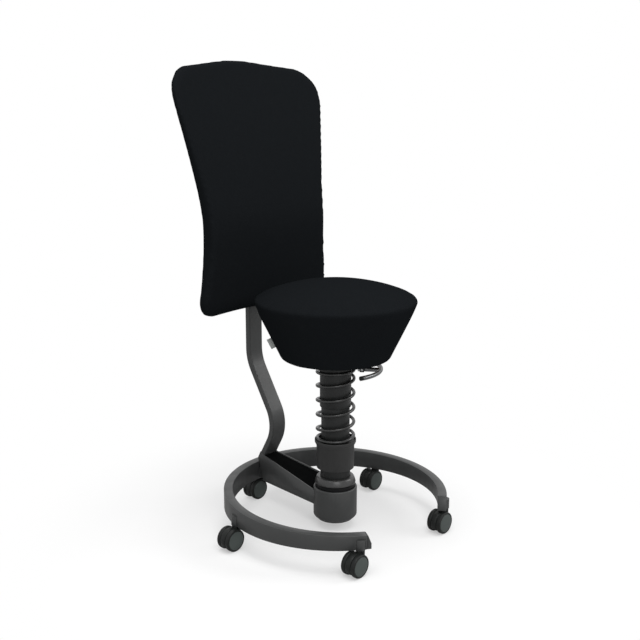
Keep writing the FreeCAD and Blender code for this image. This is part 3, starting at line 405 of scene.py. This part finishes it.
def soften(width_mm: float, *nodes: str) -> None:
    """Round the sharp edges of rigid nodes, as a coat or a mould leaves them.

    Args:
        width_mm: width of the rounding.
        nodes: names of nodes of the frame.
    """
    for name in nodes:
        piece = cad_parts[name]
        piece.data.shade_smooth()
        weld = piece.modifiers.new("weld", "WELD")
        weld.merge_threshold = WELD_MM * MM
        edges = piece.modifiers.new("edges", "BEVEL")
        edges.width = width_mm * MM
        edges.segments = EDGE_SEGMENTS
        edges.limit_method = "ANGLE"
        edges.angle_limit = math.radians(EDGE_ANGLE_DEG)
        edges.harden_normals = True


def piece_of(name: str, mesh: Union[bmesh.types.BMesh, bpy.types.Mesh], *finishes: bpy.types.Material
             ) -> bpy.types.Object:
    """Make a named piece of a mesh.

    Args:
        name: the piece's name.
        mesh: its mesh, or a mesh that is still being built.
        finishes: its materials, in the order of the faces' numbers.

    Returns:
        The new object, linked to the scene.
    """
    if isinstance(mesh, bmesh.types.BMesh):
        bmesh.ops.recalc_face_normals(mesh, faces=mesh.faces[:])
        made = bpy.data.meshes.new(name)
        mesh.to_mesh(made)
        mesh.free()
        mesh = made
    for finish in finishes:
        mesh.materials.append(finish)
    mesh.shade_smooth()
    piece = bpy.data.objects.new(name, mesh)
    bpy.context.scene.collection.objects.link(piece)
    return piece


def lathe(profile: Profile, steps: int, place: Matrix) -> bmesh.types.BMesh:
    """Turn a profile about an axis.

    Args:
        profile: radius and height along the axis, in millimetres, from one end to the other.
        steps: sides of the turned form.
        place: where the axis stands, with the axis along its own Z.

    Returns:
        The turned mesh.
    """
    mesh = bmesh.new()
    rings = []
    for radius, height in profile:
        count = 1 if radius == 0 else steps
        rings.append([mesh.verts.new(place @ Vector((
            radius * MM * math.cos(math.tau * k / steps), radius * MM * math.sin(math.tau * k / steps), height * MM)))
            for k in range(count)])
    for low, high in zip(rings, rings[1:]):
        for k in range(steps):
            corners = [low[k % len(low)], low[(k + 1) % len(low)], high[(k + 1) % len(high)], high[k % len(high)]]
            mesh.faces.new(list(dict.fromkeys(corners)))
    return mesh


def arc(middle: tuple[float, float], radius: float, start_deg: float, stop_deg: float, steps: int = 5
        ) -> list[tuple[float, float]]:
    """Points of a rounding in a profile.

    Args:
        middle: centre of the arc.
        radius: its radius.
        start_deg: direction of its first point.
        stop_deg: direction of its last point.
        steps: number of its points.

    Returns:
        The points, from the first to the last.
    """
    turns = [math.radians(start_deg + (stop_deg - start_deg) * k / (steps - 1)) for k in range(steps)]
    return [(middle[0] + radius * math.cos(t), middle[1] + radius * math.sin(t)) for t in turns]


def tube(path: Sequence[Vector], radius_mm: float, sides: int) -> bmesh.types.BMesh:
    """Carry a round section along an open path.

    Args:
        path: points of the middle line, in metres.
        radius_mm: radius of the section.
        sides: corners of the section.

    Returns:
        The tube's mesh, with flat ends.
    """
    mesh = bmesh.new()
    rings = []
    across: Optional[Vector] = None
    for k, spot in enumerate(path):
        along = (path[min(k + 1, len(path) - 1)] - path[max(k - 1, 0)]).normalized()
        across = along.orthogonal() if across is None else across - along * across.dot(along)
        across.normalize()
        other = along.cross(across)
        rings.append([mesh.verts.new(spot + (across * math.cos(math.tau * s / sides)
                                             + other * math.sin(math.tau * s / sides)) * radius_mm * MM)
                      for s in range(sides)])
    for low, high in zip(rings, rings[1:]):
        for s in range(sides):
            mesh.faces.new([low[s], low[(s + 1) % sides], high[(s + 1) % sides], high[s]])
    mesh.faces.new(rings[0])
    mesh.faces.new(rings[-1])
    return mesh


def refine(piece: bpy.types.Object) -> None:
    """Give a soft piece one step of subdivision, in the view and in the render."""
    finer = piece.modifiers.new("finer", "SUBSURF")
    finer.levels = 1
    finer.render_levels = 1


def evaluated(piece: bpy.types.Object) -> bpy.types.Mesh:
    """The piece's mesh with its modifiers applied, as a new mesh."""
    depsgraph = bpy.context.evaluated_depsgraph_get()
    return bpy.data.meshes.new_from_object(piece.evaluated_get(depsgraph))


@dataclass(frozen=True)
class Stuffing:
    """How a padded piece is filled: an even skin is laid over its solids, drawn in, and blown up to a limit."""

    voxel_mm: float = 4.0
    relaxing: int = 12
    rounding: int = 4
    inset_mm: float = 2.0
    limit_mm: float = 3.0
    settling: int = 8
    pressure: float = 4.0
    quality: int = 5
    frames: int = 20

    def fill(self, name: str, nodes: Sequence[str], held: Callable[[Vector], bool]) -> bpy.types.Mesh:
        """Make the padded form of soft nodes.

        Args:
            name: name of the mesh.
            nodes: soft nodes of the frame whose space it fills.
            held: tells the points that something holds in place.

        Returns:
            The filled skin.
        """
        form = bmesh.new()
        for node in nodes:
            form.from_mesh(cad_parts[node].data)
        bmesh.ops.remove_doubles(form, verts=form.verts[:], dist=WELD_MM * MM)
        solid = piece_of(name + "_solid", form)
        skin = piece_of(name + "_skin", solid.data.copy())
        self.lay(skin, solid)
        bpy.data.objects.remove(solid)
        inward = [vertex.normal * -self.inset_mm * MM for vertex in skin.data.vertices]
        loose = [vertex.index for vertex in skin.data.vertices if not held(vertex.co)]
        for index in loose:
            skin.data.vertices[index].co += inward[index]
        self.blow(skin, loose)
        mesh = skin.data
        mesh.name = name
        bpy.data.objects.remove(skin)
        return mesh

    def lay(self, skin: bpy.types.Object, solid: bpy.types.Object) -> None:
        """Turn a copy of the solids into one even skin that lies on them and is round at their edges.

        Args:
            skin: the copy, which is changed.
            solid: the solids as they are.
        """
        remesh = skin.modifiers.new("even", "REMESH")
        remesh.mode = "VOXEL"
        remesh.voxel_size = self.voxel_mm * MM
        skin.modifiers.new("relaxed", "SMOOTH").iterations = self.relaxing
        wrap = skin.modifiers.new("laid_on", "SHRINKWRAP")
        wrap.target = solid
        wrap.wrap_method = "NEAREST_SURFACEPOINT"
        skin.modifiers.new("rounded", "SMOOTH").iterations = self.rounding
        skin.data = evaluated(skin)
        skin.modifiers.clear()

    def blow(self, skin: bpy.types.Object, loose: Sequence[int]) -> None:
        """Blow the skin up with simulated cloth, keep each point near its start and let the cloth settle.

        Args:
            skin: the skin, which is changed.
            loose: numbers of the points that may move.
        """
        start = [vertex.co.copy() for vertex in skin.data.vertices]
        pins = skin.vertex_groups.new(name="held")
        pins.add(sorted(set(range(len(start))) - set(loose)), 1.0, "REPLACE")
        cloth = skin.modifiers.new("cloth", "CLOTH")
        cloth.settings.quality = self.quality
        cloth.settings.use_pressure = True
        cloth.settings.uniform_pressure_force = self.pressure
        cloth.settings.effector_weights.gravity = 0.0
        cloth.settings.vertex_group_mass = pins.name
        cloth.point_cache.frame_start = 1
        cloth.point_cache.frame_end = self.frames
        scene = bpy.context.scene
        for step in range(1, self.frames + 1):
            scene.frame_set(step)
        blown = evaluated(skin)
        for vertex, first, moved in zip(skin.data.vertices, start, blown.vertices):
            shift = moved.co - first
            shift.length = min(shift.length, self.limit_mm * MM)
            vertex.co = first + shift
        skin.modifiers.clear()
        bpy.data.meshes.remove(blown)
        scene.frame_set(1)
        skin.modifiers.new("settled", "SMOOTH").iterations = self.settling
        skin.data = evaluated(skin)
        skin.modifiers.clear()


@dataclass
class FootRing:
    """Open ring on the floor, its arm and the round housing under the column."""

    tube_edge_mm: float = 1.6
    sheet_edge_mm: float = 0.7
    housing_edge_mm: float = 2.2

    def dress(self, looks: Finishes) -> None:
        """Finish the rigid nodes."""
        soften(self.tube_edge_mm, "base_ring", "ring_end_caps")
        soften(self.sheet_edge_mm, "base_arm", "castor_sockets", "arm_cover")
        soften(self.housing_edge_mm, "lower_housing")
        dress(looks.frame_coat, "base_ring", "ring_end_caps", "castor_sockets", "base_arm", "arm_root_block",
              "lower_housing")
        dress(looks.cover_plastic, "arm_cover")
        dress(looks.black_plastic, "housing_base_cap")
        dress(looks.rubber, "tilt_buffer")


@dataclass
class Castors:
    """Five twin-wheel castors."""

    bore_mm: float = 3.1
    bore_wall_mm: float = 3.0
    edge_mm: float = 2.4
    rim_mm: float = 3.6
    groove_mm: float = 0.9
    cap_rise_mm: float = 0.9
    cap_shares: tuple[float, ...] = (0.97, 0.9, 0.75, 0.5, 0.0)
    cap_flatness: int = 4
    hub_step_mm: float = 0.6
    hub_bevel_mm: float = 1.0
    hood_edge_mm: float = 0.8
    steps: int = 72

    def profile(self, radius: float, width: float) -> list[tuple[float, float]]:
        """Outline of a wheel.

        Args:
            radius: the wheel's radius in millimetres.
            width: its width in millimetres, without the raised cap.

        Returns:
            Radius and height, from the bottom of the bore round to the middle of the cap.
        """
        shoulder = radius - self.edge_mm
        hub = shoulder / 2
        cap = radius - self.rim_mm - self.groove_mm
        floor = width - self.groove_mm
        bottom = width - self.bore_wall_mm
        outline = [(0.0, bottom), (self.bore_mm, bottom), (self.bore_mm, self.hub_step_mm)]
        outline += [(hub, self.hub_step_mm), (hub + self.hub_bevel_mm, 0.0)]
        outline += arc((shoulder, self.edge_mm), self.edge_mm, -90, 0)
        outline += arc((shoulder, width - self.edge_mm), self.edge_mm, 0, 90)
        outline += [(cap + self.groove_mm, width), (cap + self.groove_mm, floor), (cap, floor), (cap, width)]
        outline += [(cap * share, width + self.cap_rise_mm * (1 - share ** self.cap_flatness))
                    for share in self.cap_shares]
        return outline

    def build(self, looks: Finishes) -> list[bpy.types.Object]:
        """Turn the ten wheels in place of the plain ones."""
        wheels = []
        for castor in Castor:
            for side in Side:
                body = "wheel_%s_%s" % (castor.value, side.name.lower())
                low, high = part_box("castor_" + body)
                inner = low.y if side is Side.FAR else high.y
                spot = Vector(((low.x + high.x) / 2, inner, (low.z + high.z) / 2))
                radius = (high.z - low.z) / 2 / MM
                width = (high.y - low.y) / MM - self.cap_rise_mm
                turn = Vector((0, 0, 1)).rotation_difference(Vector((0, side.value, 0))).to_matrix().to_4x4()
                mesh = lathe(self.profile(radius, width), self.steps, Matrix.Translation(spot) @ turn)
                self.mark_cap(mesh, spot, radius - self.rim_mm - self.groove_mm, width)
                wheel = piece_of(body, mesh, looks.tread, looks.cap)
                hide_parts("castor_" + body)
                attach(wheel, body)
                wheels.append(wheel)
        return wheels

    def mark_cap(self, mesh: bmesh.types.BMesh, spot: Vector, cap: float, width: float) -> None:
        """Number the faces of the pressed-in cap, so that they get the second finish.

        Args:
            mesh: the wheel.
            spot: middle of the wheel's inner face.
            cap: radius of the cap in millimetres.
            width: width of the wheel in millimetres.
        """
        for face in mesh.faces:
            middle = (face.calc_center_median() - spot) / MM
            if abs(middle.y) > width and math.hypot(middle.x, middle.z) < cap:
                face.material_index = 1

    def dress(self, looks: Finishes) -> None:
        """Finish the hoods and pins."""
        for castor in Castor:
            soften(self.hood_edge_mm, "castor_hood_" + castor.value)
            dress(looks.tread, "castor_hood_" + castor.value)
            dress(looks.steel, "castor_pins_" + castor.value)


@dataclass
class Column:
    """Tilting column with its spring, collar and gas spring."""

    wire_mm: float = 3.7
    coil_mm: float = 41.5
    turns: float = 6.0
    start_deg: float = 30.0
    end_pitch_mm: float = 9.0
    closed_turns: float = 0.5
    ramp_turns: float = 0.5
    steps_per_turn: int = 36
    sides: int = 14
    travel_mm: float = 50.0
    tube_edge_mm: float = 0.8
    collar_edge_mm: float = 1.2
    dome_edge_mm: float = 0.5

    def pitch_share(self, turn: float) -> float:
        """How open the winding is at one turn, from 0 in the closed ends to 1 in the middle."""
        inside = min(turn, self.turns - turn) - self.closed_turns
        return min(1.0, max(0.0, inside / self.ramp_turns))

    def build(self, looks: Finishes) -> list[bpy.types.Object]:
        """Wind the spring's wire in place of the plain one."""
        low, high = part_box("coil_spring")
        count = round(self.turns * self.steps_per_turn)
        step = self.turns / count
        shares = [self.pitch_share((k + 0.5) * step) for k in range(count)]
        rise_mm = (high.z - low.z) / MM - 2 * self.wire_mm
        open_mm = (rise_mm - self.end_pitch_mm * self.turns) / (sum(shares) * step)
        height = low.z + self.wire_mm * MM
        path = []
        for k in range(count + 1):
            if k:
                height += (self.end_pitch_mm + open_mm * shares[k - 1]) * step * MM
            turn = math.radians(self.start_deg) + math.tau * k * step
            path.append(Vector((self.coil_mm * MM * math.cos(turn), self.coil_mm * MM * math.sin(turn), height)))
        wire = piece_of("spring_wire", tube(path, self.wire_mm, self.sides), looks.spring_coat)
        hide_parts("coil_spring")
        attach(wire, "column")
        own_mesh(wire)
        return [wire]

    def dress(self, looks: Finishes) -> None:
        """Finish the rigid nodes."""
        soften(self.tube_edge_mm, "guide_tube", "outer_sleeve", "spring_plate", "guide_bush", "column_spindle")
        soften(self.collar_edge_mm, "spring_collar")
        soften(self.dome_edge_mm, "tilt_dome")
        dress(looks.column_coat, "guide_tube", "outer_sleeve", "spring_plate", "column_spindle", "spring_washer")
        dress(looks.collar_plastic, "spring_collar")
        dress(looks.dome_plastic, "tilt_dome")
        dress(looks.black_plastic, "guide_bush")
        # Painted shade: the bearing cup is made near-black so the groove between dome and housing reads dark; the
        # gimbal ring and pins wear the same finish.
        dress(looks.black_steel_groove_shade, "gimbal_ring", "gimbal_pins", "bearing_cup")
        dress(looks.steel, "gas_casing", "piston_rod", "gas_cylinder", "release_pin")


@dataclass
class Seat:
    """Round crowned seat with its mechanism and its sewn label."""

    label_turn_deg: float = 133.0
    label_height_mm: float = 34.0
    label_long_mm: float = 24.0
    label_out_mm: float = 12.0
    label_thick_mm: float = 0.9
    label_curl_mm: float = 1.6
    label_even_curl: float = 0.6
    label_sewn_in: float = 0.1
    label_cells: tuple[int, int] = (8, 10)
    foot_radius_mm: float = 122.0
    rim_radius_mm: float = 186.5
    rim_rise_mm: float = 133.0
    held_voxels: float = 1.5
    metal_edge_mm: float = 0.8
    stuffing: Stuffing = Stuffing(voxel_mm=5.0, rounding=2, inset_mm=1.0, limit_mm=2.0)

    def build(self, looks: Finishes) -> list[bpy.types.Object]:
        """Fill the cushion and sew on its label."""
        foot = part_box("seat_cushion")[0].z
        held_below = foot + self.held_voxels * self.stuffing.voxel_mm * MM
        mesh = self.stuffing.fill("seat_cover", ["seat_cushion"], lambda spot: spot.z < held_below)
        cover = piece_of("seat_cover", mesh, looks.cloth)
        refine(cover)
        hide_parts("seat_cushion")
        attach(cover, "seat")
        return [cover, self.label(looks, foot)]

    def label(self, looks: Finishes, foot: float) -> bpy.types.Object:
        """Fold a bare woven label out of the side seam."""
        turn = math.radians(self.label_turn_deg)
        outward = Vector((math.cos(turn), math.sin(turn), 0))
        slant = Vector((0, 0, self.rim_rise_mm)) + outward * (self.rim_radius_mm - self.foot_radius_mm)
        slant.normalize()
        across = slant.cross(outward).normalized()
        outside = across.cross(slant).normalized()
        if outside.dot(outward) < 0:
            outside.negate()
        reach = self.foot_radius_mm + self.label_height_mm * (
            self.rim_radius_mm - self.foot_radius_mm) / self.rim_rise_mm
        start = outward * reach * MM + Vector((0, 0, foot + self.label_height_mm * MM))
        mesh = bmesh.new()
        bmesh.ops.create_grid(mesh, x_segments=self.label_cells[0], y_segments=self.label_cells[1], size=0.5)
        for vertex in mesh.verts:
            share = vertex.co.x + 0.5
            out = (share - self.label_sewn_in) * self.label_out_mm * MM
            long = vertex.co.y * self.label_long_mm * MM
            curl = self.label_curl_mm * MM * math.sin(math.pi * share) * (self.label_even_curl + vertex.co.y)
            vertex.co = start + outside * out + slant * long + across * curl
        tag = piece_of("seat_label", mesh, looks.label)
        solid = tag.modifiers.new("cloth", "SOLIDIFY")
        solid.thickness = self.label_thick_mm * MM
        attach(tag, "seat")
        return tag

    def dress(self, looks: Finishes) -> None:
        """Finish the mechanism and the lever."""
        soften(self.metal_edge_mm, "seat_dish", "lever_bracket", "lever_crank", "lever_rod", "lever_tip")
        dress(looks.column_coat, "seat_dish", "lever_bracket")
        dress(looks.steel, "seat_screws", "lever_pin", "lever_crank")
        dress(looks.board, "seat_pan")
        dress(looks.lever_steel, "lever_rod")
        dress(looks.black_plastic, "lever_tip")


@dataclass
class Backrest:
    """Hourglass back in one cloth sleeve, and the bent flat post that carries it."""

    post_depth_mm: float = 15.0
    pocket_room_mm: float = 4.0
    stuffing: Stuffing = Stuffing(voxel_mm=3.5, relaxing=16, rounding=4, inset_mm=0.0, limit_mm=1.5, frames=12)

    def pocket(self) -> Callable[[Vector], bool]:
        """Make the test that tells the points of the pocket that the post fills."""
        low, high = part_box("back_post")
        room = Vector((1, 1, 1)) * self.pocket_room_mm * MM
        low.y = high.y - self.post_depth_mm * MM
        least, most = low - room, high + room
        return lambda spot: all(a < b < c for a, b, c in zip(least, spot, most))

    def build(self, looks: Finishes) -> list[bpy.types.Object]:
        """Fill the sleeve over the shell."""
        mesh = self.stuffing.fill("back_sleeve", ["back_pad", "back_shell", "back_cover"], self.pocket())
        sleeve = piece_of("back_sleeve", mesh, looks.cloth)
        refine(sleeve)
        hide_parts("back_pad", "back_shell", "back_cover")
        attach(sleeve, "base")
        return [sleeve]

    def dress(self, looks: Finishes) -> None:
        """Finish the post."""
        dress(looks.frame_coat, "back_post")
        dress(looks.steel, "back_screws")
        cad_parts["back_post"].data.shade_smooth()


@dataclass(frozen=True)
class Lamp:
    """One soft square lamp: where it hangs, the point that it faces, the edge of its square and its power."""

    name: str
    place: Spot
    aim: Spot
    side: float
    watts: float

    def hang(self) -> None:
        """Hang the lamp in the scene."""
        data = bpy.data.lights.new(self.name, "AREA")
        data.shape = "SQUARE"
        data.size = self.side
        data.energy = self.watts
        lamp = bpy.data.objects.new(self.name, data)
        lamp.location = self.place
        lamp.rotation_euler = (Vector(self.aim) - Vector(self.place)).to_track_quat("-Z", "Y").to_euler()
        bpy.context.scene.collection.objects.link(lamp)


@dataclass
class Studio:
    """White floor and surroundings, soft lamps and the camera."""

    camera_place: Spot = (-1.6089, -1.4427, 0.9678)
    heading_deg: float = 47.19
    pitch_deg: float = 12.62
    lens_mm: float = 56.25
    sensor_mm: float = 36.0
    floor_half: float = 8.0
    floor_glow: float = 0.42
    shadow_reach: tuple[float, float] = (0.35, 0.75)
    sky_level: float = 0.46
    floor_colour: str = "#F4F4F4"
    bounce_colour: str = "#C8C8C8"
    lamps: tuple[Lamp, ...] = (
        Lamp("overhead", (-0.3, -0.2, 3.0), (0, 0, 0.3), 2.4, 60.0),
        Lamp("front", (-1.6, -2.2, 1.8), (0, 0, 0.5), 1.6, 22.0),
        Lamp("right", (2.0, -1.75, 1.75), (0, 0, 0.4), 1.2, 22.0))

    def camera(self) -> None:
        """Stand the camera where the photograph was taken from."""
        data = bpy.data.cameras.new("camera")
        data.lens = self.lens_mm
        data.sensor_width = self.sensor_mm
        data.sensor_height = self.sensor_mm
        data.sensor_fit = "HORIZONTAL"
        camera = bpy.data.objects.new("camera", data)
        camera.location = self.camera_place
        camera.rotation_euler = (math.radians(90 - self.pitch_deg), 0, math.radians(-self.heading_deg))
        bpy.context.scene.collection.objects.link(camera)
        bpy.context.scene.camera = camera

    def floor(self) -> None:
        """Lay a white floor that keeps a light shadow."""
        mesh = bmesh.new()
        bmesh.ops.create_grid(mesh, x_segments=1, y_segments=1, size=self.floor_half)
        material = bpy.data.materials.new("studio_floor")
        material.use_nodes = True
        tree = material.node_tree
        tree.nodes.clear()
        seen = add(tree, "ShaderNodeLightPath").outputs["Is Camera Ray"]
        tint = add(tree, "ShaderNodeMix", {MIX_FACTOR: seen, MIX_FIRST: linear(self.bounce_colour),
                                           MIX_SECOND: linear(self.floor_colour)}, data_type="RGBA")
        paper = add(tree, "ShaderNodeBsdfDiffuse", {"Color": tint.outputs[MIX_RESULT]})
        glow = add(tree, "ShaderNodeEmission", {"Color": WHITE, "Strength": 1.0})
        spot = add(tree, "ShaderNodeNewGeometry").outputs["Position"]
        reach = add(tree, "ShaderNodeVectorMath", {0: spot}, operation="LENGTH").outputs["Value"]
        share = add(tree, "ShaderNodeMapRange", {
            "Value": reach, "From Min": self.shadow_reach[0], "From Max": self.shadow_reach[1],
            "To Min": self.floor_glow, "To Max": 1.0}, interpolation_type="SMOOTHSTEP").outputs["Result"]
        lit = add(tree, "ShaderNodeMath", {0: share, 1: seen}, operation="MULTIPLY").outputs[0]
        both = add(tree, "ShaderNodeMixShader", {0: lit, 1: paper.outputs[0], 2: glow.outputs[0]})
        add(tree, "ShaderNodeOutputMaterial", {"Surface": both.outputs[0]})
        piece_of("studio_floor", mesh, material)

    def sky(self) -> None:
        """Surround the stool with white that lights it softly."""
        world = bpy.data.worlds.new("studio")
        bpy.context.scene.world = world
        world.use_nodes = True
        tree = world.node_tree
        tree.nodes.clear()
        path = add(tree, "ShaderNodeLightPath")
        seen = add(tree, "ShaderNodeMath", {0: path.outputs["Is Camera Ray"], 1: path.outputs["Is Glossy Ray"]},
                   operation="MAXIMUM")
        through = add(tree, "ShaderNodeMath", {0: seen.outputs[0], 1: path.outputs["Is Transmission Ray"]},
                      operation="MAXIMUM")
        level = add(tree, "ShaderNodeMapRange", {"Value": through.outputs[0], "To Min": self.sky_level, "To Max": 1.0})
        white = add(tree, "ShaderNodeBackground", {"Color": WHITE, "Strength": level.outputs["Result"]})
        add(tree, "ShaderNodeOutputWorld", {"Surface": white.outputs[0]})

    def build(self) -> None:
        """Set up the studio."""
        bpy.context.scene.view_settings.view_transform = "Standard"
        self.camera()
        self.floor()
        self.sky()
        for lamp in self.lamps:
            lamp.hang()


def main() -> None:
    """Build the stool and its studio."""
    logging.basicConfig(level=logging.INFO, format="%(message)s")
    looks = Finishes()
    ring, castors, column, seat, back = FootRing(), Castors(), Column(), Seat(), Backrest()
    for assembly in (castors, column, seat, back):
        for piece in assembly.build(looks):
            LOG.info("made %s with %d faces", piece.name, len(piece.data.polygons))
    for assembly in (ring, castors, column, seat, back):
        assembly.dress(looks)
    Studio().build()


if __name__ == "__main__":
    main()
